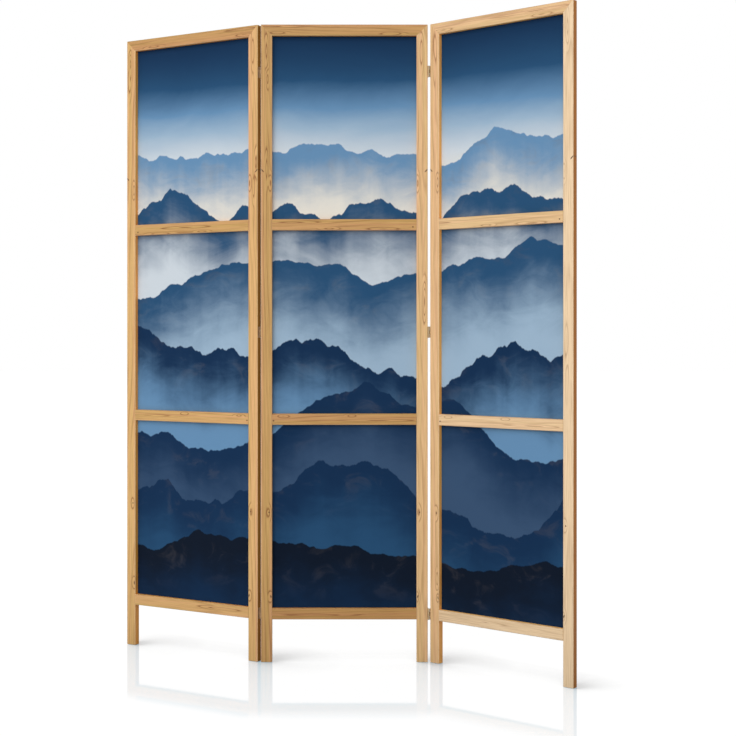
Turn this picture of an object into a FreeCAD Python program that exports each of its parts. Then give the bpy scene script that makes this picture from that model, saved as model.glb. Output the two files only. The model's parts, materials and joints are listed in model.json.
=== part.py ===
"""Three-panel folding screen: pine frames with printed cloth behind their openings, joined by butt hinges.

Millimetres and degrees, +Z up, the front faces -Y. The screen stands on its six stile ends, opened in a
zigzag, and its plan is centred over the origin, which lies on the floor.
"""
import FreeCAD, Part
import math
import os

Vector = FreeCAD.Vector
UP = Vector(0, 0, 1)
RIGHT = Vector(1, 0, 0)
ORIGIN = Vector(0, 0, 0)
TOUCH = 1e-6  # points and edges nearer than this count as the same

# Frame of one panel
PANEL_WIDTH = 450.0
OPENING_HEIGHT = 495.0
OPENING_COUNT = 3
LEG_CLEARANCE = 115.0  # floor to the underside of the bottom rail
STILE_WIDTH = 30.0
RAIL_HEIGHT = 30.0
FRAME_DEPTH = 18.0
ARRIS_BEVEL = 1.2  # along the long edges of the timber
END_BEVEL = 0.8  # round the ends of the stiles and of the top rails

# Blind mortise and tenon between rail and stile, with mitred shoulders at the top corners
TENON_LENGTH = 14.0  # from the edge of the opening, as the next one
MITRE_TENON_LENGTH = 22.0
TENON_HEIGHT = 20.0
TENON_THICKNESS = 6.0
TENON_FRONT_WALL = 3.0  # timber between the front face and the tenon
MORTISE_PLAY = 0.1
MORTISE_END_ROOM = 0.5

# Printed cloth and the beads that hold it in a rebate at the back
CLOTH_THICKNESS = 0.6
REBATE_DEPTH = 6.0  # back face of the frame to the front of the cloth
REBATE_WIDTH = 8.0  # how far the rebate reaches behind the edge of the opening
REBATE_PLAY = 0.4
BEAD_ROUND = 3.0  # quarter round on the bead's inner back edge
BEAD_END_PLAY = 0.1

# Rolled butt hinge
HINGE_HEIGHT = 30.0
HINGE_FROM_FLOOR = 130.0
HINGE_MIDDLE = 890.0  # floor to the centre of the middle hinge
HINGE_FROM_TOP = 127.0
KNUCKLE_COUNT = 3
KNUCKLE_PLAY = 0.3  # between neighbouring knuckles, along the pin
LEAF_WIDTH = 12.0  # from the barrel to the leaf's far edge
LEAF_THICKNESS = 1.1
LEAF_CORNER = 1.5
LEAF_SWING_PLAY = 0.3  # between a leaf's notch and the other leaf's knuckle
ROLL_END_ANGLE = 112.0  # where the rolled sheet stops, short of its own leaf
PIN_DIAMETER = 2.7
PIN_PLAY = 0.05
PIN_OVERHANG = 0.4  # how far each end of the pin stands out of the barrel

# The left joint is close: its hinges are let into the stiles, with their pins near the panels' backs
LEFT_GAP = 0.6
LEFT_PIN_OFFSET = 0.4
RECESS_PLAY = 0.3  # round the barrel, past the pin's ends and past the leaf's edges

# Countersunk screws, two to a leaf
SCREW_LENGTH = 12.0
SCREW_DIAMETER = 2.2
SCREW_HEAD_DIAMETER = 4.2
SCREW_POINT = 2.5  # length of the tapered tip
SCREW_TIP_DIAMETER = 0.4
SCREW_SPACING = 18.0
SCREW_PLAY = 0.05
SCREW_SIDES = 8  # the screws are many and small, so they are drawn with flat sides

# How far each outer panel is folded away from flat as the screen stands
LEFT_FOLD = 30.0
RIGHT_FOLD = 40.0

# Sizes that follow from the ones above
PANEL_HEIGHT = LEG_CLEARANCE + (OPENING_COUNT + 1) * RAIL_HEIGHT + OPENING_COUNT * OPENING_HEIGHT
OPENING_WIDTH = PANEL_WIDTH - 2 * STILE_WIDTH
RAIL_PITCH = RAIL_HEIGHT + OPENING_HEIGHT
FRONT = -FRAME_DEPTH / 2
BACK = FRAME_DEPTH / 2
CLOTH_FRONT = BACK - REBATE_DEPTH
BEAD_FRONT = CLOTH_FRONT + CLOTH_THICKNESS
BEAD_WIDTH = REBATE_WIDTH - REBATE_PLAY
TENON_FRONT = FRONT + TENON_FRONT_WALL
PIN_RADIUS = PIN_DIAMETER / 2
BORE_RADIUS = PIN_RADIUS + PIN_PLAY
BARREL_RADIUS = BORE_RADIUS + LEAF_THICKNESS
RIGHT_GAP = 2 * BARREL_RADIUS  # the right joint's leaves lie on the edges, so the barrel sets the gap
RIGHT_PIN_OFFSET = BARREL_RADIUS  # there the barrel lies against the panels' fronts
LEAF_END = BARREL_RADIUS + LEAF_WIDTH  # from the pin's axis
LEAF_NOTCH = BARREL_RADIUS + LEAF_SWING_PLAY
SCREW_FROM_PIN = BARREL_RADIUS + LEAF_WIDTH / 2
KNUCKLE_PITCH = (HINGE_HEIGHT + KNUCKLE_PLAY) / KNUCKLE_COUNT
KNUCKLE_HEIGHT = KNUCKLE_PITCH - KNUCKLE_PLAY

RAIL_NAMES = ("bottom_rail", "lower_rail", "upper_rail", "top_rail")
CLOTH_NAMES = ("bottom_cloth", "middle_cloth", "top_cloth")
HINGE_LEVELS = {
    "bottom": HINGE_FROM_FLOOR,
    "middle": HINGE_MIDDLE,
    "top": PANEL_HEIGHT - HINGE_FROM_TOP,
}
# Pin axes with the screen flat: behind the left joint and in front of the right one
PINS = {
    "left": Vector(-PANEL_WIDTH / 2 - LEFT_GAP / 2, BACK + LEFT_PIN_OFFSET, 0),
    "right": Vector(PANEL_WIDTH / 2 + RIGHT_GAP / 2, FRONT - RIGHT_PIN_OFFSET, 0),
}
FOLDS = {"left": LEFT_FOLD, "right": RIGHT_FOLD}
PANEL_CENTRES = {
    "left": -PANEL_WIDTH - LEFT_GAP,
    "middle": 0.0,
    "right": PANEL_WIDTH + RIGHT_GAP,
}
LET_IN_JOINTS = ("left",)
# The joint at each stile's outer edge, where there is one
HINGED_STILES = {
    ("left", "right_stile"): "left",
    ("middle", "left_stile"): "left",
    ("middle", "right_stile"): "right",
    ("right", "left_stile"): "right",
}


def block(x_range, y_range, z_range):
    """A box between the two ends of each range."""
    low = Vector(x_range[0], y_range[0], z_range[0])
    size = [end - start for start, end in (x_range, y_range, z_range)]
    return Part.makeBox(size[0], size[1], size[2], low)


def edges_along(shape, axis):
    """The straight edges that run along a unit axis."""
    found = []
    for edge in shape.Edges:
        start, end = edge.Vertexes[0].Point, edge.Vertexes[-1].Point
        along = (end - start).dot(axis)
        if abs(abs(along) - edge.Length) < TOUCH:
            found.append(edge)
    return found


def edges_across(shape, axis, place):
    """The straight edges that lie square to a unit axis, at one place along it."""
    found = []
    for edge in shape.Edges:
        if all(abs(vertex.Point.dot(axis) - place) < TOUCH for vertex in edge.Vertexes):
            found.append(edge)
    return found


def rail_bottom(index):
    """Height of the underside of a rail, counted from the lowest one."""
    return LEG_CLEARANCE + index * RAIL_PITCH


def opening_range(index):
    """Heights of the bottom and top edge of an opening, counted from the lowest one."""
    bottom = rail_bottom(index) + RAIL_HEIGHT
    return bottom, bottom + OPENING_HEIGHT


def grown(span, margin):
    """A range made longer by a margin at both ends."""
    return span[0] - margin, span[1] + margin


def tenon_range(index):
    """Heights of the bottom and top of a rail's tenons."""
    shoulder = (RAIL_HEIGHT - TENON_HEIGHT) / 2
    return rail_bottom(index) + shoulder, rail_bottom(index) + RAIL_HEIGHT - shoulder


def is_top_rail(index):
    """Whether a rail, counted from the lowest one, is the one with mitred ends."""
    return index == OPENING_COUNT


def tenon_length(index):
    """Length of a rail's tenons."""
    return MITRE_TENON_LENGTH if is_top_rail(index) else TENON_LENGTH


def bevelled_board(x_range, z_range, axis, ends):
    """Timber as deep as the frame, with its long edges along an axis and its ends bevelled."""
    board = block(x_range, (FRONT, BACK), z_range)
    board = board.makeChamfer(ARRIS_BEVEL, edges_along(board, axis))
    return board.makeChamfer(END_BEVEL, [edge for end in ends for edge in edges_across(board, axis, end)])


def mitre_waste(above):
    """What a mitre takes away at the top left corner: what lies above it, or what lies below it."""
    low = Vector(-OPENING_WIDTH / 2 + STILE_WIDTH, FRONT, PANEL_HEIGHT - 2 * RAIL_HEIGHT)
    high = Vector(-PANEL_WIDTH / 2 - STILE_WIDTH, FRONT, PANEL_HEIGHT + RAIL_HEIGHT)
    third = Vector(low.x, FRONT, high.z) if above else Vector(high.x, FRONT, low.z)
    return Part.Face(Part.makePolygon([low, high, third, low])).extrude(Vector(0, FRAME_DEPTH, 0))


def left_stile():
    """The left upright of a panel, mitred at its top, mortised for the rails and rebated at each opening."""
    outer, inner = -PANEL_WIDTH / 2, -OPENING_WIDTH / 2
    stile = bevelled_board((outer, inner), (0, PANEL_HEIGHT), UP, (0, PANEL_HEIGHT))
    cuts = [mitre_waste(above=True)]
    for index in range(len(RAIL_NAMES)):
        depth = (inner - tenon_length(index) - MORTISE_END_ROOM, inner)
        thickness = grown((TENON_FRONT, TENON_FRONT + TENON_THICKNESS), MORTISE_PLAY)
        cuts.append(block(depth, thickness, grown(tenon_range(index), MORTISE_PLAY)))
    for index in range(OPENING_COUNT):
        height = grown(opening_range(index), REBATE_WIDTH)
        cuts.append(block((inner - REBATE_WIDTH, inner), (CLOTH_FRONT, BACK), height))
    return stile.cut(cuts)


def rail(index):
    """A cross rail with a tenon at each end, rebated along the edges that face an opening."""
    across = (-OPENING_WIDTH / 2, OPENING_WIDTH / 2)
    bottom, top = rail_bottom(index), rail_bottom(index) + RAIL_HEIGHT
    rebate = across
    cuts = []
    if is_top_rail(index):
        ends = (-PANEL_WIDTH / 2, PANEL_WIDTH / 2)
        body = bevelled_board(ends, (bottom, top), RIGHT, ends)
        waste = mitre_waste(above=False)
        cuts += [waste, waste.mirror(ORIGIN, RIGHT)]
        rebate = grown(across, REBATE_WIDTH)
    else:
        body = block(across, (FRONT, BACK), (bottom, top))
        body = body.makeChamfer(ARRIS_BEVEL, edges_along(body, RIGHT))
        cuts.append(block(rebate, (CLOTH_FRONT, BACK), (top - REBATE_WIDTH, top)))
    if index > 0:
        cuts.append(block(rebate, (CLOTH_FRONT, BACK), (bottom, bottom + REBATE_WIDTH)))
    thickness = (TENON_FRONT, TENON_FRONT + TENON_THICKNESS)
    tenons = block(grown(across, tenon_length(index)), thickness, tenon_range(index))
    return body.cut(cuts).fuse(tenons).removeSplitter()


def cloth(index):
    """The printed cloth of one opening, flat on the floor of the rebate."""
    half = OPENING_WIDTH / 2 + BEAD_WIDTH
    height = grown(opening_range(index), BEAD_WIDTH)
    return block((-half, half), (CLOTH_FRONT, BEAD_FRONT), height)


def rounded_at(bead, axis, middle):
    """A square bead with its quarter round on the edge through one point."""
    edge = [e for e in edges_along(bead, axis) if e.BoundBox.Center.isEqual(middle, TOUCH)]
    return bead.makeFillet(BEAD_ROUND, edge)


def beads(index):
    """The four quarter-round beads that hold the cloth of one opening, flush with the frame's back."""
    half = OPENING_WIDTH / 2
    low, high = opening_range(index)
    depth = (BEAD_FRONT, BACK)
    made = []
    for side in (-1, 1):
        inner, outer = side * half, side * (half + BEAD_WIDTH)
        upright = block(sorted((inner, outer)), depth, grown((low, high), BEAD_WIDTH))
        made.append(rounded_at(upright, UP, Vector(inner, BACK, (low + high) / 2)))
    length = grown((-half, half), -BEAD_END_PLAY)
    for inner, outer in ((low, low - BEAD_WIDTH), (high, high + BEAD_WIDTH)):
        level = block(length, depth, sorted((inner, outer)))
        made.append(rounded_at(level, RIGHT, Vector(0, BACK, inner)))
    return made


def on_circle(radius, angle):
    """A point on a circle round the pin's axis."""
    turn = math.radians(angle)
    return Vector(radius * math.cos(turn), radius * math.sin(turn), 0)


def rolled_section():
    """Section of the leaf's sheet where it is rolled round the pin, with the leaf on the -X side."""
    halfway = (ROLL_END_ANGLE - 180) / 2
    outer = [on_circle(BARREL_RADIUS, angle) for angle in (-180, halfway, ROLL_END_ANGLE)]
    inner = [on_circle(BORE_RADIUS, angle) for angle in (-180, halfway, ROLL_END_ANGLE)]
    outer_foot = Vector(-BARREL_RADIUS, LEAF_NOTCH, 0)
    inner_foot = Vector(-BORE_RADIUS, LEAF_NOTCH, 0)
    outline = [
        Part.LineSegment(outer_foot, outer[0]),
        Part.Arc(outer[0], outer[1], outer[2]),
        Part.LineSegment(outer[2], inner[2]),
        Part.Arc(inner[2], inner[1], inner[0]),
        Part.LineSegment(inner[0], inner_foot),
        Part.LineSegment(inner_foot, outer_foot),
    ]
    return Part.Face(Part.Wire([curve.toShape() for curve in outline]))


def screw_heights():
    """Heights of a leaf's two screws from the middle of the hinge."""
    return -SCREW_SPACING / 2, SCREW_SPACING / 2


def leaf(first_knuckle):
    """A hinge leaf on the -X side of its pin, with every second knuckle from the first one given."""
    bottom = -HINGE_HEIGHT / 2
    plate = block((-BARREL_RADIUS, -BORE_RADIUS), (LEAF_NOTCH, LEAF_END), (bottom, bottom + HINGE_HEIGHT))
    corners = [e for e in edges_along(plate, RIGHT) if abs(e.BoundBox.YMax - LEAF_END) < TOUCH]
    plate = plate.makeChamfer(LEAF_CORNER, corners)
    section = rolled_section()
    knuckles = []
    for index in range(first_knuckle, KNUCKLE_COUNT, 2):
        rolled = section.extrude(UP * KNUCKLE_HEIGHT)
        rolled.translate(UP * (bottom + index * KNUCKLE_PITCH))
        knuckles.append(rolled)
    sheet = plate.fuse(knuckles).removeSplitter()
    reach = ((-BORE_RADIUS, SCREW_HEAD_DIAMETER), (-BARREL_RADIUS, SCREW_DIAMETER))
    return sheet.cut([faceted(reach, height, SCREW_PLAY) for height in screw_heights()])


def faceted(stations, height, play=0.0):
    """A screw's form along X, or a hole for it, through (place, diameter) stations at one height."""
    turns = [2 * math.pi * (corner + 0.5) / SCREW_SIDES for corner in range(SCREW_SIDES)]
    rings = []
    for place, diameter in stations:
        radius = diameter / 2 + play
        centre = Vector(place, SCREW_FROM_PIN, height)
        rings.append([centre + Vector(0, math.cos(turn), math.sin(turn)) * radius for turn in turns])
    outlines = [rings[0], rings[-1]]
    for near, far in zip(rings, rings[1:]):
        for side in range(SCREW_SIDES):
            outlines.append([near[side - 1], near[side], far[side], far[side - 1]])
    faces = [Part.Face(Part.makePolygon(outline + outline[:1])) for outline in outlines]
    solid = Part.Solid(Part.Shell(faces))
    return solid if solid.Volume > 0 else solid.reversed()


def pin():
    """A plain hinge pin, a little longer than the barrel."""
    length = HINGE_HEIGHT + 2 * PIN_OVERHANG
    return Part.makeCylinder(PIN_RADIUS, length, UP * (-length / 2))


def leaf_screws():
    """The two countersunk screws of a leaf, driven towards -X with their heads flush with the leaf."""
    tip = -BORE_RADIUS - SCREW_LENGTH
    stations = (
        (-BORE_RADIUS, SCREW_HEAD_DIAMETER),
        (-BARREL_RADIUS, SCREW_DIAMETER),
        (tip + SCREW_POINT, SCREW_DIAMETER),
        (tip, SCREW_TIP_DIAMETER),
    )
    return [faceted(stations, height) for height in screw_heights()]


def pilot_holes():
    """The holes in the stile for a leaf's screws."""
    stations = ((-BARREL_RADIUS, SCREW_DIAMETER), (-BORE_RADIUS - SCREW_LENGTH, SCREW_DIAMETER))
    return [faceted(stations, height, SCREW_PLAY) for height in screw_heights()]


def hinge_recess():
    """The room for a hinge that is let into a stile: a bed for the leaf and a hollow for the barrel."""
    bed_end = HINGE_HEIGHT / 2 + RECESS_PLAY
    bed = block((-BARREL_RADIUS, 0), (0, LEAF_END + RECESS_PLAY), (-bed_end, bed_end))
    hollow_end = bed_end + PIN_OVERHANG
    hollow = Part.makeCylinder(BARREL_RADIUS + RECESS_PLAY, 2 * hollow_end, UP * -hollow_end)
    return [bed, hollow]


def hinge_cuts(joint):
    """What is cut from a stile's edge for one hinge of a joint."""
    return pilot_holes() + (hinge_recess() if joint in LET_IN_JOINTS else [])


def other_side(shape):
    """A hinge piece turned over to the +X side of its pin."""
    return shape.mirror(ORIGIN, RIGHT)


def at_joint(shape, joint, level):
    """A hinge piece at its height on the flat screen. The left joint's hinges face the other way."""
    placed = shape.copy()
    if joint == "left":
        placed.rotate(ORIGIN, UP, 180)
    placed.translate(PINS[joint] + UP * HINGE_LEVELS[level])
    return placed


def folded(shape, panel):
    """A piece of the flat screen, turned with its panel about the panel's pin axis."""
    turned = shape.copy()
    if panel in PINS:
        turned.rotate(PINS[panel], UP, -FOLDS[panel])
    return turned


def plan_centre():
    """The middle of the standing screen's plan, from the bevelled corners of its two free stiles."""
    corners = []
    for panel, side in (("left", -1), ("right", 1)):
        outer = PANEL_CENTRES[panel] + side * PANEL_WIDTH / 2
        for face, inward in ((FRONT, 1), (BACK, -1)):
            on_face = Part.Vertex(outer - side * ARRIS_BEVEL, face, 0)
            on_edge = Part.Vertex(outer, face + inward * ARRIS_BEVEL, 0)
            corners += [folded(corner, panel).Point for corner in (on_face, on_edge)]
    across = [point.x for point in corners]
    deep = [point.y for point in corners]
    return Vector((min(across) + max(across)) / 2, (min(deep) + max(deep)) / 2, 0)


def hinge_side(shape, panel):
    """A hinge piece modelled for the middle panel, mirrored for an outer one."""
    return shape if panel == "middle" else other_side(shape)


def at_levels(shapes, panel, joint):
    """Pieces modelled for one hinge, repeated at every hinge on one side of a joint."""
    sided = [hinge_side(shape, panel) for shape in shapes]
    return [at_joint(shape, joint, level) for level in HINGE_LEVELS for shape in sided]


def frame_pieces():
    """The timber, cloth and beads of the three panels, on the flat screen."""
    stile = left_stile()
    stiles = {"left_stile": stile, "right_stile": stile.mirror(ORIGIN, RIGHT)}
    common = {name: [rail(index)] for index, name in enumerate(RAIL_NAMES)}
    common.update({name: [cloth(index)] for index, name in enumerate(CLOTH_NAMES)})
    common["beads"] = [bead for index in range(OPENING_COUNT) for bead in beads(index)]
    pieces = {}
    for panel, centre in PANEL_CENTRES.items():
        shift = Vector(centre, 0, 0)
        for name, upright in stiles.items():
            placed = upright.translated(shift)
            joint = HINGED_STILES.get((panel, name))
            if joint:
                placed = placed.cut(at_levels(hinge_cuts(joint), panel, joint))
            pieces[panel, f"{panel}_{name}"] = [placed]
        for name, solids in common.items():
            pieces[panel, f"{panel}_{name}"] = [solid.translated(shift) for solid in solids]
    return pieces


def hinge_pieces():
    """The leaves, pins and screws of the six hinges, on the flat screen."""
    middle_leaf = leaf(first_knuckle=0)
    outer_leaf = other_side(leaf(first_knuckle=1))
    hinge_pin = pin()
    pieces = {}
    for joint in PINS:
        for level in HINGE_LEVELS:
            name = f"{joint}_{level}_hinge"
            pieces["middle", f"{name}_middle_leaf"] = [at_joint(middle_leaf, joint, level)]
            pieces[joint, f"{name}_outer_leaf"] = [at_joint(outer_leaf, joint, level)]
            pieces["middle", f"{name}_pin"] = [at_joint(hinge_pin, joint, level)]
        pieces["middle", f"middle_{joint}_hinge_screws"] = at_levels(leaf_screws(), "middle", joint)
        pieces[joint, f"{joint}_panel_hinge_screws"] = at_levels(leaf_screws(), joint, joint)
    return pieces


def main():
    os.makedirs("parts", exist_ok=True)
    to_origin = plan_centre() * -1
    pieces = {**frame_pieces(), **hinge_pieces()}
    for (panel, node), solids in pieces.items():
        standing = [folded(solid, panel).translated(to_origin) for solid in solids]
        shape = standing[0] if len(standing) == 1 else Part.makeCompound(standing)
        shape.exportStep(f"parts/{node}.step")
    for joint, axis in PINS.items():
        at = axis + to_origin
        print(f"{joint} pin axis at x {at.x:.4f} y {at.y:.4f}")


main()
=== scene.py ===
"""Dresses the three-panel screen: pine timber, printed cloth, zinc hinges, floor, light and camera.

Metres, +Z up, the front faces -Y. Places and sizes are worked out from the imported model.
"""
import json
import math
import random

import bpy
from mathutils import Matrix, Vector


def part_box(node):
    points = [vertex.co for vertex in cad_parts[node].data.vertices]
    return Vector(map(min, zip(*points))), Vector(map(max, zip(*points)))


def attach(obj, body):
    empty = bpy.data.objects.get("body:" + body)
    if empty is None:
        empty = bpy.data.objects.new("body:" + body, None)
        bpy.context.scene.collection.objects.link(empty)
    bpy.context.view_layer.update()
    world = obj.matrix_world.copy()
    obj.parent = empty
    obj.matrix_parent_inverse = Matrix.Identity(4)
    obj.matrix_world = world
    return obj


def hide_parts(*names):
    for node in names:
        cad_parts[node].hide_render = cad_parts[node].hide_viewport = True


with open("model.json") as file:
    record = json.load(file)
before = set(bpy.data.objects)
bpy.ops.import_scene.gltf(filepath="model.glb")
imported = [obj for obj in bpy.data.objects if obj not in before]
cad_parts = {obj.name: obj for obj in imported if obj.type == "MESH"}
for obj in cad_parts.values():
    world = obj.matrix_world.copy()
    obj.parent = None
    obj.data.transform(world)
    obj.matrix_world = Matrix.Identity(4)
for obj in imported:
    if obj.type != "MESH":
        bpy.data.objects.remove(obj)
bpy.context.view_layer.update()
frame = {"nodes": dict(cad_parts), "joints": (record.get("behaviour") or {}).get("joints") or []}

PANELS = ("left", "middle", "right")
STILES = ("left_stile", "right_stile")
RAILS = ("bottom_rail", "lower_rail", "upper_rail", "top_rail")
LEVELS = ("bottom", "middle", "top")
NODES = frame["nodes"]
FOLD_JOINTS = {joint["child"]: joint for joint in frame["joints"]}
MILLIMETRE = 0.001
BLACK = (0, 0, 0, 1)
WHITE = (1, 1, 1, 1)

# The photograph's frame, in pixels of its own square picture
PHOTO_WIDTH = 736
FOCAL_LENGTH = 1438.5
HORIZON_ABOVE_MIDDLE = 33.6
SENSOR_WIDTH = 36.0  # millimetres of film, as the camera counts them
CAMERA_PLACE = Vector((0.0825, -3.856, 0.884))


# Places

def box_middle(node):
    """Middle of a node's box."""
    low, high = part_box(node)
    return (low + high) / 2


def panel_turn(panel):
    """How far a panel stands turned about +Z from facing straight ahead."""
    joint = FOLD_JOINTS.get(f"{panel}_panel")
    return math.radians(joint["range_deg"][0]) if joint else 0.0


def panel_place(panel):
    """A panel's own axes: X across its front, Y towards its back, Z up from the floor."""
    middle = (box_middle(f"{panel}_left_stile") + box_middle(f"{panel}_right_stile")) / 2
    return Matrix.Translation((middle.x, middle.y, 0)) @ Matrix.Rotation(panel_turn(panel), 4, "Z")


PLACES = {panel: panel_place(panel) for panel in PANELS}


def points_in_panel(node, panel):
    """A node's mesh points in its panel's own axes."""
    to_panel = PLACES[panel].inverted()
    return [to_panel @ vertex.co for vertex in NODES[node].data.vertices]


def corners(points):
    """Lowest and highest corner of the box round some points."""
    low = Vector([min(point[axis] for point in points) for axis in range(3)])
    high = Vector([max(point[axis] for point in points) for axis in range(3)])
    return low, high


def box_in_panel(node, panel):
    """Lowest and highest corner of a node in its panel's own axes."""
    return corners(points_in_panel(node, panel))


def flat_shift(panel):
    """How far a panel's middle lies from the middle panel's when the screen is laid flat."""
    joint = FOLD_JOINTS.get(f"{panel}_panel")
    if joint is None:
        return 0.0
    return 2 * (PLACES["middle"].inverted() @ Vector(joint["pos_m"])).x


# Modelling steps

def select_only(piece):
    """Makes one object the only selected and active one."""
    bpy.ops.object.select_all(action="DESELECT")
    piece.select_set(True)
    bpy.context.view_layer.objects.active = piece


def new_primitive(add, name, **settings):
    """Adds a primitive by itself, with a name of its own."""
    bpy.ops.object.select_all(action="DESELECT")
    add(**settings)
    piece = bpy.context.object
    piece.name = name
    piece.data.name = name
    return piece


def apply_modifier(piece, kind, **settings):
    """Adds a modifier with its settings and applies it."""
    select_only(piece)
    modifier = piece.modifiers.new(kind.lower(), kind)
    for name, value in settings.items():
        setattr(modifier, name, value)
    bpy.ops.object.modifier_apply(modifier=modifier.name)


def select_faces(piece, wanted):
    """Selects, in edit mode, the faces that a test picks by their middle and normal."""
    bpy.ops.object.mode_set(mode="OBJECT")
    mesh = piece.data
    for part in (*mesh.vertices, *mesh.edges, *mesh.polygons):
        part.select = False
    for face in mesh.polygons:
        face.select = wanted(face.center, face.normal)
    bpy.ops.object.mode_set(mode="EDIT")
    bpy.ops.mesh.select_mode(type="FACE")


def set_finish(piece, *materials):
    """Gives a piece its materials and no others."""
    piece.data.materials.clear()
    for material in materials:
        piece.data.materials.append(material)


# Building materials from nodes

NOISE_SPAN = (0.2, 0.8)  # noise keeps about between these
NOISE_MIDDLE = 0.5


def paint(red, green, blue):
    """A colour named by its screen values, 0 to 255, as the linear colour that a shader takes."""
    linear = []
    for value in (red, green, blue):
        share = value / 255
        linear.append(share / 12.92 if share <= 0.04045 else ((share + 0.055) / 1.055) ** 2.4)
    return (*linear, 1.0)


class Finish:
    """A material under construction. Inputs are fed with sockets or with plain values."""

    def __init__(self, name):
        self.material = bpy.data.materials.new(name)
        self.material.use_nodes = True
        self.tree = self.material.node_tree
        self.tree.nodes.clear()

    def feed(self, socket, value):
        if isinstance(value, bpy.types.NodeSocket):
            self.tree.links.new(value, socket)
        else:
            socket.default_value = value

    def add(self, kind, inputs=None, **settings):
        node = self.tree.nodes.new(kind)
        for name, value in settings.items():
            setattr(node, name, value)
        for name, value in (inputs or {}).items():
            self.feed(node.inputs[name], value)
        return node

    def sum(self, operation, *values):
        """One step of arithmetic on numbers."""
        node = self.add("ShaderNodeMath", operation=operation)
        for socket, value in zip(node.inputs, values):
            self.feed(socket, value)
        return node.outputs[0]

    def point(self, x, y, z):
        return self.add("ShaderNodeCombineXYZ", {0: x, 1: y, 2: z}).outputs[0]

    def split(self, vector):
        return self.add("ShaderNodeSeparateXYZ", {0: vector}).outputs

    def noise(self, vector, rate, detail=3.0, roughness=0.5, distortion=0.0):
        """Clouds, so many to a metre every way, or so many along each axis."""
        if isinstance(rate, tuple):
            vector = self.add("ShaderNodeMapping", {"Vector": vector, "Scale": rate}).outputs[0]
            rate = 1.0
        inputs = {"Vector": vector, "Scale": rate, "Detail": detail}
        inputs.update({"Roughness": roughness, "Distortion": distortion})
        return self.add("ShaderNodeTexNoise", inputs).outputs["Fac"]

    def blend(self, main, other, share=0.6):
        """Two patterns in one, with this share of the first."""
        return self.sum("MULTIPLY_ADD", main, share, self.sum("MULTIPLY", other, 1 - share))

    def ease(self, value, start, end, low=0.0, high=1.0):
        """Goes smoothly from low to high while the value goes from start to end."""
        inputs = {"Value": value, "From Min": start, "From Max": end, "To Min": low, "To Max": high}
        return self.add("ShaderNodeMapRange", inputs, interpolation_type="SMOOTHSTEP").outputs[0]

    def ramp(self, value, stops):
        """Colours at places from 0 to 1, blended between them."""
        node = self.add("ShaderNodeValToRGB", {"Fac": value})
        marks = node.color_ramp.elements
        while len(marks) < len(stops):
            marks.new(1.0)
        for mark, (place, colour) in zip(marks, stops):
            mark.position = place
            mark.color = colour
        return node.outputs["Color"]

    def mix(self, share, first, second, blend_type="MIX"):
        node = self.add("ShaderNodeMix", data_type="RGBA", blend_type=blend_type)
        for index, value in ((0, share), (6, first), (7, second)):
            self.feed(node.inputs[index], value)
        return node.outputs[2]

    def bump(self, height, strength, distance):
        inputs = {"Height": height, "Strength": strength, "Distance": distance}
        return self.add("ShaderNodeBump", inputs).outputs[0]

    def done(self, inputs):
        """Ends in one plain surface shader with these inputs."""
        surface = self.add("ShaderNodeBsdfPrincipled", inputs)
        self.add("ShaderNodeOutputMaterial", {"Surface": surface.outputs[0]})
        return self.material


# Pine

GRAIN_LENGTH = 20.0  # metres of grain, from anywhere in which a board is cut
RING_SPACING = 4.2 * MILLIMETRE
PITH_DEPTH = (30 * MILLIMETRE, 75 * MILLIMETRE)  # how far behind the board's middle the heart lay
PITH_SIDE = 40 * MILLIMETRE
GRAIN_SLOPE = 0.011  # rings run out of the board by this much along its length
GRAIN_WANDER = 11 * MILLIMETRE
# How many there are to a metre across, through and along a board
BENDS_PER_METRE = (14, 14, 2.6)
PATCHES_PER_METRE = (30, 30, 5)
BANDS_PER_METRE = (190, 60, 0.9)
FIBRES_PER_METRE = (650, 650, 11)

YELLOW_WOOD = paint(223, 183, 115)
HONEY_WOOD = paint(231, 185, 124)
ROSY_WOOD = paint(236, 182, 131)
LATE_WOOD = paint(138, 80, 31)
KNOT_HEART = paint(80, 44, 18)
FIBRE_SHADE = paint(208, 196, 180)
FIBRE_SHARE = 0.75
DEEP_STOCK = paint(210, 199, 176)  # tints of boards cut from deeper or paler stock
PALE_STOCK = paint(250, 221, 182)
PALE_FIGURE = 0.45  # the share of its figure that the palest stock shows

LATE_STARTS = 0.54  # the parts of a ring at which its late wood starts and is darkest
LATE_DARKEST = 0.84
LATE_FAINT = (0.08, 0.08, 0.08, 1)  # late wood where it starts
PLAIN_FIGURE = (0.12, 0.6)  # the least and the most of the late wood that shows away from loops
PATCH_SPAN = (0.35, 0.75)  # the noise at which that least and most are reached
LATE_HEIGHT = -0.5  # how the late wood stands against the fibres
GRAIN_RELIEF = 0.25 * MILLIMETRE
LOOP_FIGURE = 0.85  # how much shows in a loop
LOOP_RIM = (1.15, 0.6)  # distances from a loop's middle, in half its size, between which it comes up
KNOT_FIGURE = 0.95
KNOT_RIM = (1.25, 0.5)

OUTER_EDGE_TONE_AND_SHADE = paint(206, 190, 134)  # outer edges darker and warmer: partly the sawn edges' own deeper tone, partly painted shade, as they face away from the light
FREE_EDGE_SHADE = paint(185, 132, 54)  # painted shade, deeper and warmer still, on the screen's two free edges
INNER_EDGE_LIGHT = (1.22, 0.92, 0.45, 1.0)  # painted light: brightens and warms the inner faces round the openings, which stand in shade
# painted highlight along the arrises, where they catch the light
ARRIS_HIGHLIGHT = paint(246, 220, 180)
UPWARD_ARRIS = paint(150, 126, 94)  # arrises that face up, darker and greyer
# how strongly the arrises take their colour: painted highlight, or the darker tone where they face up
ARRIS_TINT_SHARE = 0.35
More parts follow.
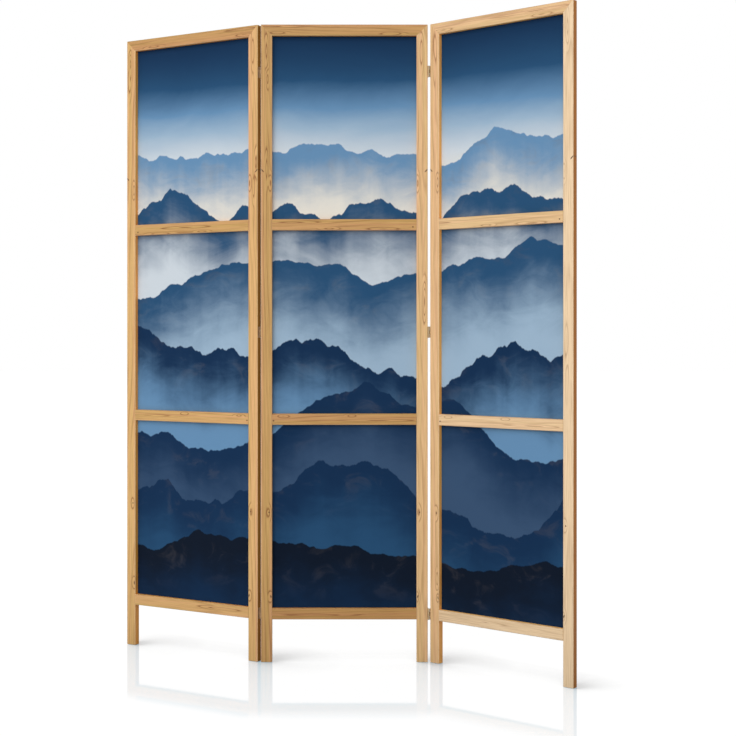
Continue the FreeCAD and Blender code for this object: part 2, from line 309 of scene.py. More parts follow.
# How far a normal leans aside where an edge starts, where an arris starts and where it ends, and how far
# up it leans where an arris turns darker
EDGE_LEAN = (0.86, 0.96)
ARRIS_STARTS = (0.5, 0.64)
ARRIS_ENDS = (0.92, 0.78)
UPWARD_LEAN = (0.4, 0.6)
BEAD_SEAM = 0.2 * MILLIMETRE

FREE_STILES = ("left_left_stile", "right_right_stile")

# How far a board leans to the deeper stock, or below nothing to the paler one
BOARD_TINTS = {
    "left_bottom_rail": 0.13, "left_lower_rail": 0.25, "left_upper_rail": 0.45, "left_top_rail": 0.65,
    "middle_bottom_rail": 0.85, "middle_lower_rail": 0.7, "middle_upper_rail": 0.6, "middle_top_rail": 0.7,
    "middle_left_stile": 0.5, "middle_right_stile": -0.26,
    "right_left_stile": -0.27, "right_right_stile": -0.95,
    "right_bottom_rail": -0.9, "right_lower_rail": -0.62,
    "right_upper_rail": -0.4, "right_top_rail": -0.35,
}

# Figure in every stile: height over the floor, distance from the stile's middle towards the opening, half
# its length and half its width. A loop bends the rings, by so many of them, and a knot is a dark spot that
# slants down towards the opening by so many degrees.
STILE_LOOPS = (
    (1.650, 1 * MILLIMETRE, 75 * MILLIMETRE, 9 * MILLIMETRE, 1.8),
    (1.293, 11 * MILLIMETRE, 40 * MILLIMETRE, 9 * MILLIMETRE, 1.9),
    (0.404, 7 * MILLIMETRE, 30 * MILLIMETRE, 10 * MILLIMETRE, 1.2),
    (0.177, 12 * MILLIMETRE, 26 * MILLIMETRE, 11 * MILLIMETRE, 1.3),
)
STILE_KNOTS = (
    (1.326, -11 * MILLIMETRE, 6.5 * MILLIMETRE, 1.7 * MILLIMETRE, 45),
    (0.404, 7 * MILLIMETRE, 2.4 * MILLIMETRE, 2.0 * MILLIMETRE, 90),
    (0.177, 12 * MILLIMETRE, 4.5 * MILLIMETRE, 1.7 * MILLIMETRE, 75),
)
# Figure in the rails, in millimetres from the middle of the board: along it, up, half length, half width,
# and for a loop the rings
RAIL_LOOPS = {
    "top_rail": ((130, -8, 50, 7, 1.6), (-180, -6, 45, 7, 1.5)),
    "upper_rail": ((105, -12, 70, 7, 1.6), (-40, -11, 40, 6, 1.4)),
    "lower_rail": ((-165, 9, 27, 7, 1.5), (20, 10, 25, 7, 1.4)),
}
RAIL_KNOTS = {"upper_rail": (185, -6, 2.4, 2.1), "lower_rail": (-191, -4, 2.4, 2.1)}
# More loops anywhere along a board: how many, half their length and half their width in millimetres
STRAY_STILE_LOOPS = (2, (40, 110), (7, 11))
STRAY_RAIL_LOOPS = (1, (110, 190), (5, 7))
STRAY_SIDE = 9  # millimetres from the board's middle
STRAY_RINGS = 1.6


def grain_axes(wood, panel, place, run):
    """How far a place lies across, through and along its board."""
    x, y, z = wood.split(place)
    if run == "up":
        return x, y, z
    if run == "across":
        return z, y, x
    # Beads run up beside the stiles, and across between those
    edge = box_in_panel(f"{panel}_right_stile", panel)[0].x
    upright = wood.ease(wood.sum("ABSOLUTE", x), edge - BEAD_SEAM, edge)
    sideways = wood.sum("MULTIPLY", upright, wood.sum("SUBTRACT", x, z))
    return wood.sum("ADD", z, sideways), y, wood.sum("SUBTRACT", x, sideways)


def oval(wood, along, across, middle_along, middle_across, half_length, half_width, slant):
    """Distance from the middle of an oval mark, 1 at its rim. With no slant it lies along the grain."""
    off_along = wood.sum("SUBTRACT", along, middle_along)
    off_across = wood.sum("SUBTRACT", across, middle_across)
    lean, rise = math.sin(slant), math.cos(slant)
    length = wood.sum("MULTIPLY_ADD", off_along, rise, wood.sum("MULTIPLY", off_across, lean))
    width = wood.sum("MULTIPLY_ADD", off_along, -lean, wood.sum("MULTIPLY", off_across, rise))
    length = wood.sum("DIVIDE", length, half_length)
    width = wood.sum("DIVIDE", width, half_width)
    square = wood.sum("MULTIPLY_ADD", length, length, wood.sum("MULTIPLY", width, width))
    return wood.sum("SQRT", square)


def bend_rings(wood, radius, along, across, loops):
    """The rings' distances from the heart, bent by the loops, and how strongly each place is figured."""
    figured = 0.0
    for middle_along, middle_across, half_length, half_width, rings in loops:
        away = oval(wood, along, across, middle_along, middle_across, half_length, half_width, 0)
        radius = wood.sum("ADD", radius, wood.ease(away, 0.0, 1.0, rings * RING_SPACING, 0.0))
        figured = wood.sum("MAXIMUM", figured, wood.ease(away, *LOOP_RIM, 0.0, LOOP_FIGURE))
    return radius, figured


def knot_marks(wood, along, across, knots):
    """How much of a knot's dark heart shows at each place."""
    knotted = 0.0
    for middle_along, middle_across, half_length, half_width, slant in knots:
        away = oval(wood, along, across, middle_along, middle_across, half_length, half_width, slant)
        knotted = wood.sum("MAXIMUM", knotted, wood.ease(away, *KNOT_RIM, 0.0, KNOT_FIGURE))
    return knotted


def edge_tone_and_painted_light(wood, colour, facing, node, run, inward):
    """A board's colour with its outer edges darker (their own tone and painted shade), painted light on
    its inner ones and painted highlights on its arrises.
    """
    aside, endways = (facing[0], facing[2]) if run == "up" else (facing[2], facing[0])
    leaning = wood.sum("ABSOLUTE", aside)
    outward = wood.sum("MULTIPLY", aside, -inward)
    outer = wood.ease(wood.sum("MAXIMUM", outward, wood.sum("ABSOLUTE", endways)), *EDGE_LEAN)
    inner = wood.sum("SUBTRACT", wood.ease(leaning, *EDGE_LEAN), wood.ease(outward, *EDGE_LEAN))
    arris_mask = wood.sum("MULTIPLY", wood.ease(leaning, *ARRIS_STARTS), wood.ease(leaning, *ARRIS_ENDS))
    edge = FREE_EDGE_SHADE if node in FREE_STILES else OUTER_EDGE_TONE_AND_SHADE
    # Painted shade on the outer and free edges, partly their own deeper tone, and painted light on the
    # inner ones
    colour = wood.mix(outer, colour, wood.mix(1.0, colour, edge, "MULTIPLY"))
    colour = wood.mix(inner, colour, wood.mix(1.0, colour, INNER_EDGE_LIGHT, "MULTIPLY"))
    # Painted highlight along the arrises, darker and greyer where they face up
    arris = wood.mix(wood.ease(facing[2], *UPWARD_LEAN), ARRIS_HIGHLIGHT, UPWARD_ARRIS)
    return wood.mix(wood.sum("MULTIPLY", arris_mask, ARRIS_TINT_SHARE), colour, arris)


def pine(node, panel, run, inward=0, loops=(), knots=()):
    """Lacquered pine with its grain along one board."""
    wood = Finish(f"pine_{node}")
    draw = random.Random(node)
    low, high = box_in_panel(node, panel)
    to_panel = PLACES[panel].inverted()
    turn_back = (0, 0, -panel_turn(panel))
    coords = wood.add("ShaderNodeTexCoord").outputs
    place = wood.add("ShaderNodeMapping", {
        "Vector": coords["Object"],
        "Location": to_panel.translation - (low + high) / 2,
        "Rotation": turn_back,
    }).outputs[0]
    across, depth, along = grain_axes(wood, panel, place, run)
    shifted = wood.sum("ADD", along, draw.uniform(0, GRAIN_LENGTH))
    grain = wood.point(across, depth, shifted)

    wander = wood.noise(grain, BENDS_PER_METRE, detail=2.0)
    wander = wood.sum("MULTIPLY", wander, GRAIN_WANDER)
    side = wood.sum("SUBTRACT", across, draw.uniform(-PITH_SIDE, PITH_SIDE))
    behind = wood.sum("SUBTRACT", depth, draw.uniform(*PITH_DEPTH))
    radius = wood.sum("MULTIPLY_ADD", side, side, wood.sum("MULTIPLY", behind, behind))
    radius = wood.sum("ADD", wood.sum("SQRT", radius), wander)
    radius = wood.sum("MULTIPLY_ADD", along, draw.choice((-1, 1)) * GRAIN_SLOPE, radius)
    radius, figured = bend_rings(wood, radius, along, across, loops)

    ring = wood.sum("FRACT", wood.sum("DIVIDE", radius, RING_SPACING))
    late = wood.ramp(ring, ((0.0, BLACK), (LATE_STARTS, LATE_FAINT), (LATE_DARKEST, WHITE), (1.0, BLACK)))
    patch = wood.noise(grain, PATCHES_PER_METRE)
    shown = wood.sum("MAXIMUM", figured, wood.ease(patch, *PATCH_SPAN, *PLAIN_FIGURE))
    late = wood.sum("MULTIPLY", late, shown)
    bent = wood.point(wood.sum("ADD", across, wander), depth, shifted)
    band = wood.noise(bent, BANDS_PER_METRE, detail=2.0)
    early = wood.ramp(band, ((0.36, YELLOW_WOOD), (0.5, HONEY_WOOD), (0.64, ROSY_WOOD)))
    tint = BOARD_TINTS.get(node, 0.0)
    if tint < 0:
        early = wood.mix(-tint, early, PALE_STOCK)
        late = wood.sum("MULTIPLY", late, 1 + tint * (1 - PALE_FIGURE))
    colour = wood.mix(late, early, LATE_WOOD)
    fibre = wood.noise(grain, FIBRES_PER_METRE, roughness=0.6)
    streak = wood.ramp(fibre, ((0.25, FIBRE_SHADE), (0.6, WHITE)))
    colour = wood.mix(FIBRE_SHARE, colour, streak, "MULTIPLY")
    if tint > 0:
        colour = wood.mix(tint, colour, DEEP_STOCK, "MULTIPLY")
    colour = wood.mix(knot_marks(wood, along, across, knots), colour, KNOT_HEART)

    if run != "beads":
        facing = {"Vector": coords["Normal"], "Rotation": turn_back}
        facing = wood.split(wood.add("ShaderNodeMapping", facing, vector_type="VECTOR").outputs[0])
        colour = edge_tone_and_painted_light(wood, colour, facing, node, run, inward)
    height = wood.sum("MULTIPLY_ADD", late, LATE_HEIGHT, fibre)
    return wood.done({
        "Base Color": colour,
        "Roughness": wood.ease(fibre, *NOISE_SPAN, 0.42, 0.58),
        "Specular IOR Level": 0.25,
        "Coat Weight": 0.05,
        "Coat Roughness": 0.3,
        "Normal": wood.bump(height, 0.2, GRAIN_RELIEF),
    })


def stray_loops(node, start, end, count, lengths, widths):
    """A few more loops anywhere along a board."""
    draw = random.Random(f"{node} loops")
    loops = []
    for _ in range(count):
        across = draw.uniform(-STRAY_SIDE, STRAY_SIDE) * MILLIMETRE
        length, width = draw.uniform(*lengths) * MILLIMETRE, draw.uniform(*widths) * MILLIMETRE
        along, rings = draw.uniform(start, end), draw.choice((-STRAY_RINGS, STRAY_RINGS))
        loops.append((along, across, length, width, rings))
    return loops


def rail_figure(node, panel, name):
    """A rail's loops and knots, from the middle of its board, and turned round on the left panel."""
    way = -1 if panel == "left" else 1
    low, high = box_in_panel(node, panel)
    half = (high.x - low.x) / 2
    loops = stray_loops(node, -half, half, *STRAY_RAIL_LOOPS)
    for along, up, length, width, rings in RAIL_LOOPS.get(name, ()):
        loops.append((*(size * MILLIMETRE for size in (way * along, up, length, width)), rings))
    knots = []
    if name in RAIL_KNOTS:
        along, up, length, width = RAIL_KNOTS[name]
        knots.append((*(size * MILLIMETRE for size in (way * along, up, length, width)), 0))
    return loops, knots


def stile_figure(node, panel, inward):
    """A stile's loops and knots, from the middle of its board."""
    low, high = box_in_panel(node, panel)
    middle = (low.z + high.z) / 2
    loops = [(height - middle, inward * across, *size) for height, across, *size in STILE_LOOPS]
    loops += stray_loops(node, low.z - middle, high.z - middle, *STRAY_STILE_LOOPS)
    knots = []
    for height, across, length, width, slant in STILE_KNOTS:
        lean = math.radians(-inward * (90 - slant))
        knots.append((height - middle, inward * across, length, width, lean))
    return loops, knots


def finish_timber():
    """Every stile, rail and set of beads gets pine of its own board."""
    for panel in PANELS:
        for name in STILES:
            node = f"{panel}_{name}"
            inward = 1 if name == "left_stile" else -1
            set_finish(NODES[node], pine(node, panel, "up", inward, *stile_figure(node, panel, inward)))
        for name in RAILS:
            node = f"{panel}_{name}"
            set_finish(NODES[node], pine(node, panel, "across", 0, *rail_figure(node, panel, name)))
        node = f"{panel}_beads"
        set_finish(NODES[node], pine(node, panel, "beads"))


# Hinges and screws

# Zinc's own light and dull tones, made bright enough that the left joint's hinges show light in their
# shaded groove: partly painted light
ZINC_LIGHT = paint(244, 223, 196)
ZINC_DULL = paint(176, 152, 122)
SHADED_ZINC_LIGHT = paint(192, 172, 138)  # a darker copy of the zinc for the right joint's hinges, which stand in front: painted shade
SHADED_ZINC_DULL = paint(138, 116, 84)
SHEET_BRUSH = (2600, 2600, 160)  # brush marks to a metre along each axis
SCREW_BRUSH = (900, 900, 900)
BRUSH_RELIEF = 0.05 * MILLIMETRE
CLOUDS_PER_METRE = 160.0
SCREW_SIDES = 24
SCREW_SHANK = 2.0 * MILLIMETRE
SCREW_HEAD_DEPTH = 1.0 * MILLIMETRE
SCREW_POINT = 2.5 * MILLIMETRE
SCREW_TIP = 0.15  # the width of the point's end, as a share of the shank's
SCREW_RIM = 0.12 * MILLIMETRE
SCREW_SMOOTH = math.radians(35)  # faces that meet at less than this are shaded as one
SLOT_LENGTH = 2.3 * MILLIMETRE
SLOT_WIDTH = 0.55 * MILLIMETRE
SLOT_DEPTH = 0.75 * MILLIMETRE
SLOT_TAPER = 0.62  # the slot's length at its floor, as a share of that at its mouth
LEVEL_FACE = 0.9  # a level face's normal goes at least this far up or down

# Each set of screws: its node and its panel
SCREW_SETS = (
    ("left_panel_hinge_screws", "left"),
    ("middle_left_hinge_screws", "middle"),
    ("middle_right_hinge_screws", "middle"),
    ("right_panel_hinge_screws", "right"),
)


def zinc(name, brush, light=ZINC_LIGHT, dull=ZINC_DULL):
    """Dull zinc-plated steel with brushed streaks, stretched by the brush along each axis."""
    steel = Finish(name)
    coords = steel.add("ShaderNodeTexCoord").outputs["Object"]
    streak = steel.noise(coords, brush, detail=4.0, roughness=0.6)
    cloud = steel.noise(coords, CLOUDS_PER_METRE, detail=2.0)
    mottled = steel.blend(cloud, streak)
    return steel.done({
        "Base Color": steel.ramp(mottled, ((0.3, dull), (0.7, light))),
        "Metallic": 0.7,
        "Roughness": steel.ease(mottled, *NOISE_SPAN, 0.3, 0.5),
        "Normal": steel.bump(streak, 0.1, BRUSH_RELIEF),
    })


def countersunk_screw(head, length):
    """One screw that points down, with the face of its head at the origin and a cross slot in it."""
    middle = (0, 0, -SCREW_HEAD_DEPTH / 2)
    screw = new_primitive(bpy.ops.mesh.primitive_cylinder_add, "hinge_screw", vertices=SCREW_SIDES,
                          radius=head / 2, depth=SCREW_HEAD_DEPTH, location=middle)
    bpy.ops.object.transform_apply(location=True, rotation=False, scale=False)
    select_faces(screw, lambda place, normal: normal.z < -LEVEL_FACE)
    bpy.ops.transform.resize(value=(SCREW_SHANK / head, SCREW_SHANK / head, 1))
    drop = length - SCREW_HEAD_DEPTH - SCREW_POINT
    bpy.ops.mesh.extrude_region_move(TRANSFORM_OT_translate={"value": (0, 0, -drop)})
    bpy.ops.mesh.extrude_region_move(TRANSFORM_OT_translate={"value": (0, 0, -SCREW_POINT)})
    bpy.ops.transform.resize(value=(SCREW_TIP, SCREW_TIP, 1))
    select_faces(screw, lambda place, normal: normal.z > LEVEL_FACE)
    bpy.ops.mesh.bevel(offset=SCREW_RIM, segments=2, affect="EDGES")
    bpy.ops.object.mode_set(mode="OBJECT")
    for quarter in (0, math.pi / 2):
        slot = new_primitive(bpy.ops.mesh.primitive_cube_add, "slot_cutter", size=1.0,
                             rotation=(0, 0, quarter))
        slot.scale = (SLOT_LENGTH, SLOT_WIDTH, 2 * SLOT_DEPTH)
        bpy.ops.object.transform_apply(location=False, rotation=True, scale=True)
        select_faces(slot, lambda place, normal: normal.z < -LEVEL_FACE)
        bpy.ops.transform.resize(value=(SLOT_TAPER, SLOT_TAPER, 1))
        bpy.ops.object.mode_set(mode="OBJECT")
        apply_modifier(screw, "BOOLEAN", object=slot, operation="DIFFERENCE", solver="EXACT")
        bpy.data.objects.remove(slot)
    select_only(screw)
    bpy.ops.object.shade_smooth_by_angle(angle=SCREW_SMOOTH)
    return screw


def screw_places(node, panel):
    """The boxes, in the panel's own axes, of the screws in a set, which stand one above another."""
    points = sorted(points_in_panel(node, panel), key=lambda point: point.z)
    groups = [[points[0]]]
    for before, point in zip(points, points[1:]):
        if point.z - before.z > SCREW_SHANK:
            groups.append([])
        groups[-1].append(point)
    return [corners(group) for group in groups]


def drive_screws(finish):
    """Puts a copy of one modelled screw in each screw's place, joined into the four sets."""
    low, high = screw_places(*SCREW_SETS[0])[0]
    pattern = countersunk_screw(high.y - low.y, high.x - low.x)
    set_finish(pattern, finish)
    for node, panel in SCREW_SETS:
        copies = []
        for low, high in screw_places(node, panel):
            middle = (low + high) / 2
            outward = math.copysign(1, middle.x)
            head = Vector((high.x if outward > 0 else low.x, middle.y, middle.z))
            turn = Matrix.Rotation(outward * math.pi / 2, 4, "Y")
            copy = pattern.copy()
            copy.data = pattern.data.copy()
            copy.data.transform(PLACES[panel] @ Matrix.Translation(head) @ turn)
            bpy.context.scene.collection.objects.link(copy)
            copies.append(copy)
        select_only(copies[0])
        for copy in copies:
            copy.select_set(True)
        bpy.ops.object.join()
        screws = bpy.context.object
        screws.name = f"{node}_slotted"
        screws.data.name = screws.name
        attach(screws, f"{panel}_panel")
        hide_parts(node)
    bpy.data.objects.remove(pattern)


def finish_metal():
    """Leaves and pins are brushed along the pin, screws are tumbled."""
    # The left joint's hinges take the zinc brightened as painted light, the right joint's a darker copy as
    # painted shade
    rolled = {
        "left": zinc("zinc_sheet", SHEET_BRUSH),
        "right": zinc("shaded_zinc_sheet", SHEET_BRUSH, SHADED_ZINC_LIGHT, SHADED_ZINC_DULL),
    }
    for name, node in NODES.items():
        if name.endswith(("_leaf", "_pin")):
            set_finish(node, rolled[name.split("_")[0]])
    drive_screws(zinc("zinc_screw", SCREW_BRUSH))


# Printed cloth

CLOTH_SLACK = 1.1 * MILLIMETRE  # how far the stretched cloth waves in and out between its beads
SLACK_WIDTH = 0.16  # the size of those waves
CLOTH_HELD = 12 * MILLIMETRE  # the border that the beads keep flat
CLOTH_EASE = 60 * MILLIMETRE
CLOTH_CUTS = 40
CLOTH_SMOOTH = math.radians(40)
PRINT_MAP = "print"
SHOW_THROUGH = 0.22  # how much of the print is seen on the back
WEAVE_PER_METRE = 1500.0
WEAVE_SHADE = paint(205, 205, 205)
WEAVE_SHARE = 0.35
FELT_PER_METRE = 900.0
BLOTCHES_PER_METRE = 14.0
FELT_SHADE = paint(206, 206, 204)
FELT_LIGHT = paint(232, 231, 227)
NAP = 0.15 * MILLIMETRE  # how far the fibres stand up

NIGHT = paint(4, 18, 36)
INDIGO = paint(14, 46, 80)
DEEP_BLUE = paint(38, 80, 118)
MID_BLUE = paint(104, 146, 184)
PALE_BLUE = paint(160, 186, 208)
MIST = paint(210, 219, 226)
CREAM = paint(236, 231, 219)
TAUPE = paint(92, 88, 90)
SLATE = paint(58, 84, 116)

# Hills from the farthest to the nearest: crest height, rise and fall, hills to a metre, depth of the fade
# into mist, colour of the crest, colour of the mist at its foot
HILLS = (
    (1.40, 0.20, 1.7, 0.20, MID_BLUE, CREAM),
    (1.22, 0.22, 2.1, 0.24, DEEP_BLUE, MIST),
    (1.05, 0.20, 1.6, 0.25, DEEP_BLUE, PALE_BLUE),
    (0.84, 0.22, 2.3, 0.23, INDIGO, MID_BLUE),
    (0.64, 0.20, 1.8, 0.22, INDIGO, SLATE),
    (0.46, 0.20, 2.2, 0.24, INDIGO, DEEP_BLUE),
    (0.30, 0.16, 1.7, 0.26, NIGHT, INDIGO),
)
HILLS_START = 3.1  # each row is cut from one endless line of hills, so far along it from the row behind
HILLS_APART = 17.3
CREST_EDGE = 4 * MILLIMETRE
MIST_RISES = (0.05, 1.0)  # depths below a crest, as shares of its fade, between which the mist thickens
EARTH_SHARE = 0.2  # how much brown is brushed into a hill, and where
EARTH_BRUSH = (0.02, 0.2)
EARTH_ENDS = (0.7, 0.2)
SKY_TOP = 1.72
SKY_FOOT = 1.26
SKY_BANDS = (
    (0.0, CREAM), (0.16, MIST), (0.34, PALE_BLUE), (0.52, MID_BLUE), (0.76, DEEP_BLUE), (1.0, INDIGO),
)
SKY_DRIFT = 0.05  # how far the wash moves the sky's bands
WASH_PER_METRE = (3.0, 6.0, 1)
BRUSH_PER_METRE = (12, 17, 1)


def wet_marks(ink, flat, marks):
    """Cloudy marks of wet ink, so many to a metre across and up, dark below nothing and light above."""
    clouds = ink.noise(flat, marks, detail=6.0, roughness=0.6, distortion=0.8)
    return ink.sum("SUBTRACT", clouds, NOISE_MIDDLE)


def hills(ink, flat):
    """Misty hills in indigo wash, drawn across all three panels as they lie flat."""
    across, up = ink.split(flat)[:2]
    wash = wet_marks(ink, flat, WASH_PER_METRE)
    brush = wet_marks(ink, flat, BRUSH_PER_METRE)
    sky = ink.ease(ink.sum("MULTIPLY_ADD", wash, SKY_DRIFT, up), SKY_FOOT, SKY_TOP)
    colour = ink.ramp(sky, SKY_BANDS)
    mottled = ink.blend(wash, brush)
    for number, (crest, rise, rate, fade, top, foot) in enumerate(HILLS):
        along = ink.sum("MULTIPLY_ADD", across, rate, HILLS_APART * number + HILLS_START)
        line = {"W": along, "Scale": 1.0, "Detail": 7.0, "Roughness": 0.5}
        line = ink.add("ShaderNodeTexNoise", line, noise_dimensions="1D").outputs["Fac"]
        height = ink.sum("MULTIPLY_ADD", ink.sum("SUBTRACT", line, NOISE_MIDDLE), 2 * rise, crest)
        below = ink.sum("SUBTRACT", height, up)
        inside = ink.ease(below, 0.0, CREST_EDGE)
        misty = ink.sum("ADD", ink.sum("DIVIDE", below, fade), mottled)
        hill = ink.mix(ink.ease(misty, *MIST_RISES), top, foot)
        brushed = ink.ease(misty, *EARTH_ENDS, 0.0, EARTH_SHARE)
        earth = ink.sum("MULTIPLY", ink.ease(brush, *EARTH_BRUSH), brushed)
        hill = ink.mix(earth, hill, TAUPE)
        colour = ink.mix(inside, colour, hill)
    return colour


def printed_front():
    """The front of the cloth, with the hills printed on it."""
    ink = Finish("cloth_print")
    flat = ink.add("ShaderNodeUVMap", uv_map=PRINT_MAP).outputs[0]
    weave = ink.noise(flat, WEAVE_PER_METRE, detail=2.0, roughness=0.6)
    thread = ink.ramp(weave, ((0.3, WEAVE_SHADE), (0.65, WHITE)))
    return ink.done({
        "Base Color": ink.mix(WEAVE_SHARE, hills(ink, flat), thread, "MULTIPLY"),
        "Roughness": ink.ease(weave, *NOISE_SPAN, 0.72, 0.9),
        "Specular IOR Level": 0.12,
        "Normal": ink.bump(weave, 0.25, NAP),
    })


def plain_back():
    """The unprinted back of the cloth: off-white felt, with a little of the print coming through."""
    felt = Finish("cloth_back")
    flat = felt.add("ShaderNodeUVMap", uv_map=PRINT_MAP).outputs[0]
    coords = felt.add("ShaderNodeTexCoord").outputs["Object"]
    fibre = felt.noise(coords, FELT_PER_METRE, detail=4.0, roughness=0.65, distortion=1.5)
    blotch = felt.noise(coords, BLOTCHES_PER_METRE, detail=2.0)
    shade = felt.blend(fibre, blotch)
    bare = felt.ramp(shade, ((0.3, FELT_SHADE), (0.7, FELT_LIGHT)))
    return felt.done({
        "Base Color": felt.mix(SHOW_THROUGH, bare, hills(felt, flat)),
        "Roughness": felt.ease(fibre, *NOISE_SPAN, 0.82, 0.95),
        "Specular IOR Level": 0.2,
        "Normal": felt.bump(fibre, 0.3, NAP),
    })


def stretched_cloth(panel, level, slack, finishes):
    """The cloth of one opening: held flat under its beads and slightly slack between them."""
    node = f"{panel}_{level}_cloth"
    low, high = box_in_panel(node, panel)
    size = high - low
    cloth = new_primitive(bpy.ops.mesh.primitive_plane_add, f"{node}_sheet", size=1.0,
                          rotation=(math.pi / 2, 0, 0))
    cloth.scale = (size.x, size.z, 1)
    bpy.ops.object.transform_apply(location=False, rotation=True, scale=True)
    bpy.ops.object.mode_set(mode="EDIT")
    bpy.ops.mesh.select_all(action="SELECT")
    bpy.ops.mesh.subdivide(number_cuts=CLOTH_CUTS)
    bpy.ops.transform.translate(value=((low.x + high.x) / 2, low.y, (low.z + high.z) / 2))
    bpy.ops.object.mode_set(mode="OBJECT")
    flat = cloth.data.uv_layers[0]
    flat.name = PRINT_MAP
    for loop in cloth.data.loops:
        corner = cloth.data.vertices[loop.vertex_index].co
        flat.data[loop.index].uv = (corner.x + flat_shift(panel), corner.z)
    free = cloth.vertex_groups.new(name="free")
    for vertex in cloth.data.vertices:
        from_side = min(vertex.co.x - low.x, high.x - vertex.co.x)
        from_end = min(vertex.co.z - low.z, high.z - vertex.co.z)
        share = (min(from_side, from_end) - CLOTH_HELD) / CLOTH_EASE
        free.add([vertex.index], max(0.0, min(1.0, share)), "REPLACE")
    cloth.data.transform(PLACES[panel])
    apply_modifier(cloth, "DISPLACE", texture=slack, texture_coords="LOCAL", vertex_group=free.name,
                   strength=2 * CLOTH_SLACK, mid_level=0.5)
    cloth.vertex_groups.clear()
    set_finish(cloth, *finishes)
    apply_modifier(cloth, "SOLIDIFY", thickness=size.y, offset=-1.0, material_offset=1,
                   material_offset_rim=1)
    bpy.ops.object.shade_smooth_by_angle(angle=CLOTH_SMOOTH)
    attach(cloth, f"{panel}_panel")
    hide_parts(node)


def stretch_cloths():
    """All nine cloths, of one print and one felt."""
    finishes = (printed_front(), plain_back())
    slack = bpy.data.textures.new("cloth_slack", "CLOUDS")
    slack.noise_scale = SLACK_WIDTH
    for panel in PANELS:
        for level in LEVELS:
            stretched_cloth(panel, level, slack, finishes)


# Stage

FLOOR_SIZE = 60.0
FLOOR_GLOW = 0.895  # the part of the floor's white that broad shadows don't darken
FLOOR_COLOUR = paint(222, 222, 224)  # the floor as it lights the screen
FLOOR_NEAR_COLOUR = paint(36, 36, 38)  # the same close to the screen, darker, which only light bouncing onto the screen meets: painted shade on the panels' feet
NEAR_FLOOR = 0.65  # how far that reaches
FLOOR_SEEN_COLOUR = paint(112, 112, 112)  # what the camera sees under the glow
FLOOR_POLISH = (0.42, 0.30, 0.25, 1.0)  # the share of each colour that the polish mirrors
FLOOR_ROUGHNESS = 0.05
POLISH_FADE = (0.48, 0.60)  # distances from the screen between which the polish ends
POLISH_AT_END = 0.72  # its strength where it starts to end
POLISH_INDEX = 1.5  # how the polish bends light, which makes it shine most at a low angle
LOW_ANGLE_SHINE = 0.30  # the share that it mirrors where the feet are seen
CONTACT_REACH = 0.20  # how far from a foot its own shadow shows
CONTACT_FROM = Vector((-0.78, -0.22, 0.58))  # the way the floor looks for a foot that shades it
CONTACT_DEPTH = 0.38
CONTACT_DARKEST = 0.7  # the openness of the floor at which a foot's shadow is full
CONTACT_SAMPLES = 16
SKY_LIGHT = 0.52
WINDOW_FROM = Vector((-2.2, -4.8, 3.0))
WINDOW_STRENGTH = 1.58
BACK_FROM = Vector((0.3, 4.8, 3.2))
BACK_STRENGTH = 0.9
LIGHT_SPREAD = math.radians(60)


def white_world():
    """Even grey light from all round that looks plain white itself."""
    world = bpy.data.worlds.new("white_room")
    bpy.context.scene.world = world
    world.use_nodes = True
    tree = world.node_tree
    tree.nodes.clear()
    path = tree.nodes.new("ShaderNodeLightPath").outputs
    seen = path["Is Camera Ray"]
    for other in (path["Is Glossy Ray"], path["Is Transmission Ray"]):
        either = tree.nodes.new("ShaderNodeMath")
        either.operation = "MAXIMUM"
        tree.links.new(seen, either.inputs[0])
        tree.links.new(other, either.inputs[1])
        seen = either.outputs[0]
    level = tree.nodes.new("ShaderNodeMapRange")
    level.inputs["To Min"].default_value = SKY_LIGHT
    tree.links.new(seen, level.inputs["Value"])
    background = tree.nodes.new("ShaderNodeBackground")
    tree.links.new(level.outputs[0], background.inputs["Strength"])
    background.inputs["Color"].default_value = WHITE
    output = tree.nodes.new("ShaderNodeOutputWorld")
    tree.links.new(background.outputs[0], output.inputs["Surface"])


def from_screen(finish):
    """How far a place on the floor lies before or behind the zigzag line of the panels."""
    x, y = finish.split(finish.add("ShaderNodeTexCoord").outputs["Object"])[:2]
    line = PLACES["middle"].translation.y
    for panel, side in (("left", "MINIMUM"), ("right", "MAXIMUM")):
        past = finish.sum("SUBTRACT", x, FOLD_JOINTS[f"{panel}_panel"]["pos_m"][0])
        line = finish.sum("MULTIPLY_ADD", finish.sum(side, past, 0.0), math.tan(panel_turn(panel)), line)
    return finish.sum("ABSOLUTE", finish.sum("SUBTRACT", y, line))


def floor_polish(white, seen, distance):
    """Colour of the floor's polish: strongest at a low angle and near the screen."""
    fade = white.sum("MULTIPLY", white.ease(distance, 0.0, POLISH_FADE[0], 1.0, POLISH_AT_END),
                     white.ease(distance, *POLISH_FADE, 1.0, 0.0))
    mirrored = white.add("ShaderNodeFresnel", {"IOR": POLISH_INDEX}).outputs[0]
    shine = white.sum("MINIMUM", white.sum("DIVIDE", mirrored, LOW_ANGLE_SHINE), 1.0)
    share = white.sum("MULTIPLY", seen, white.sum("MULTIPLY", fade, shine))
    return white.mix(share, BLACK, FLOOR_POLISH)


def floor_glow(white, polish):
    """Colour of the floor's own white: a painted shadow beside the feet, and less what the polish mirrors.
    """
    looking = {"Distance": CONTACT_REACH, "Normal": white.point(*CONTACT_FROM.normalized())}
    openness = white.add("ShaderNodeAmbientOcclusion", looking, samples=CONTACT_SAMPLES).outputs["AO"]
    shadow = white.ease(openness, CONTACT_DARKEST, 1.0, 1 - CONTACT_DEPTH, 1.0)
    level = white.sum("MULTIPLY", shadow, FLOOR_GLOW)
    return white.mix(1.0, white.point(level, level, level), polish, "SUBTRACT")


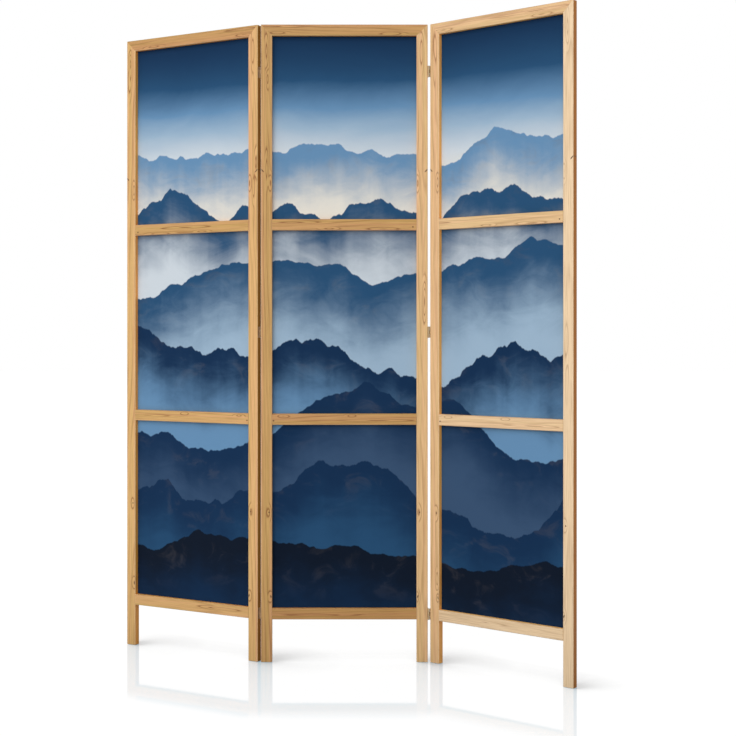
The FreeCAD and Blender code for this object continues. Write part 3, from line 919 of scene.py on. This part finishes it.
def pale_floor():
    """A plain white floor, polished near the screen, that keeps the screen's shadow."""
    floor = new_primitive(bpy.ops.mesh.primitive_plane_add, "floor", size=FLOOR_SIZE)
    white = Finish("floor_white")
    path = white.add("ShaderNodeLightPath").outputs
    seen = white.sum("MAXIMUM", path["Is Camera Ray"], path["Is Glossy Ray"])
    distance = from_screen(white)
    polish = floor_polish(white, seen, distance)
    # Darker close to the screen for bounced light only: painted shade on the panels' feet
    lit = white.mix(white.ease(distance, 0.0, NEAR_FLOOR), FLOOR_NEAR_COLOUR, FLOOR_COLOUR)
    glowing = white.add("ShaderNodeEmission", {"Color": floor_glow(white, polish), "Strength": seen})
    matt = white.add("ShaderNodeBsdfDiffuse", {"Color": white.mix(seen, lit, FLOOR_SEEN_COLOUR)})
    glossy = white.add("ShaderNodeBsdfGlossy", {"Color": polish, "Roughness": FLOOR_ROUGHNESS})
    plain = white.add("ShaderNodeAddShader", {0: glowing.outputs[0], 1: matt.outputs[0]})
    polished = white.add("ShaderNodeAddShader", {0: plain.outputs[0], 1: glossy.outputs[0]})
    white.add("ShaderNodeOutputMaterial", {"Surface": polished.outputs[0]})
    set_finish(floor, white.material)


def soft_light(name, place, strength, mirrored):
    """Broad, even light from a place towards the origin, which glossy things mirror or don't."""
    lamp = bpy.data.lights.new(name, "SUN")
    lamp.angle = LIGHT_SPREAD
    lamp.energy = strength
    light = bpy.data.objects.new(name, lamp)
    light.location = place
    light.visible_glossy = mirrored
    light.rotation_euler = (-place).to_track_quat("-Z", "Y").to_euler()
    bpy.context.scene.collection.objects.link(light)


def photo_camera():
    """A level camera that looks along +Y, framed as the photograph is."""
    data = bpy.data.cameras.new("photo_camera")
    data.sensor_width = SENSOR_WIDTH
    data.lens = FOCAL_LENGTH / PHOTO_WIDTH * SENSOR_WIDTH
    data.shift_y = -HORIZON_ABOVE_MIDDLE / PHOTO_WIDTH
    camera = bpy.data.objects.new("photo_camera", data)
    camera.location = CAMERA_PLACE
    camera.rotation_euler = (math.pi / 2, 0, 0)
    bpy.context.scene.collection.objects.link(camera)
    bpy.context.scene.camera = camera


finish_timber()
finish_metal()
stretch_cloths()
white_world()
pale_floor()
soft_light("window_light", WINDOW_FROM, WINDOW_STRENGTH, mirrored=True)
soft_light("back_light", BACK_FROM, BACK_STRENGTH, mirrored=False)
photo_camera()
bpy.context.scene.view_settings.view_transform = "Standard"
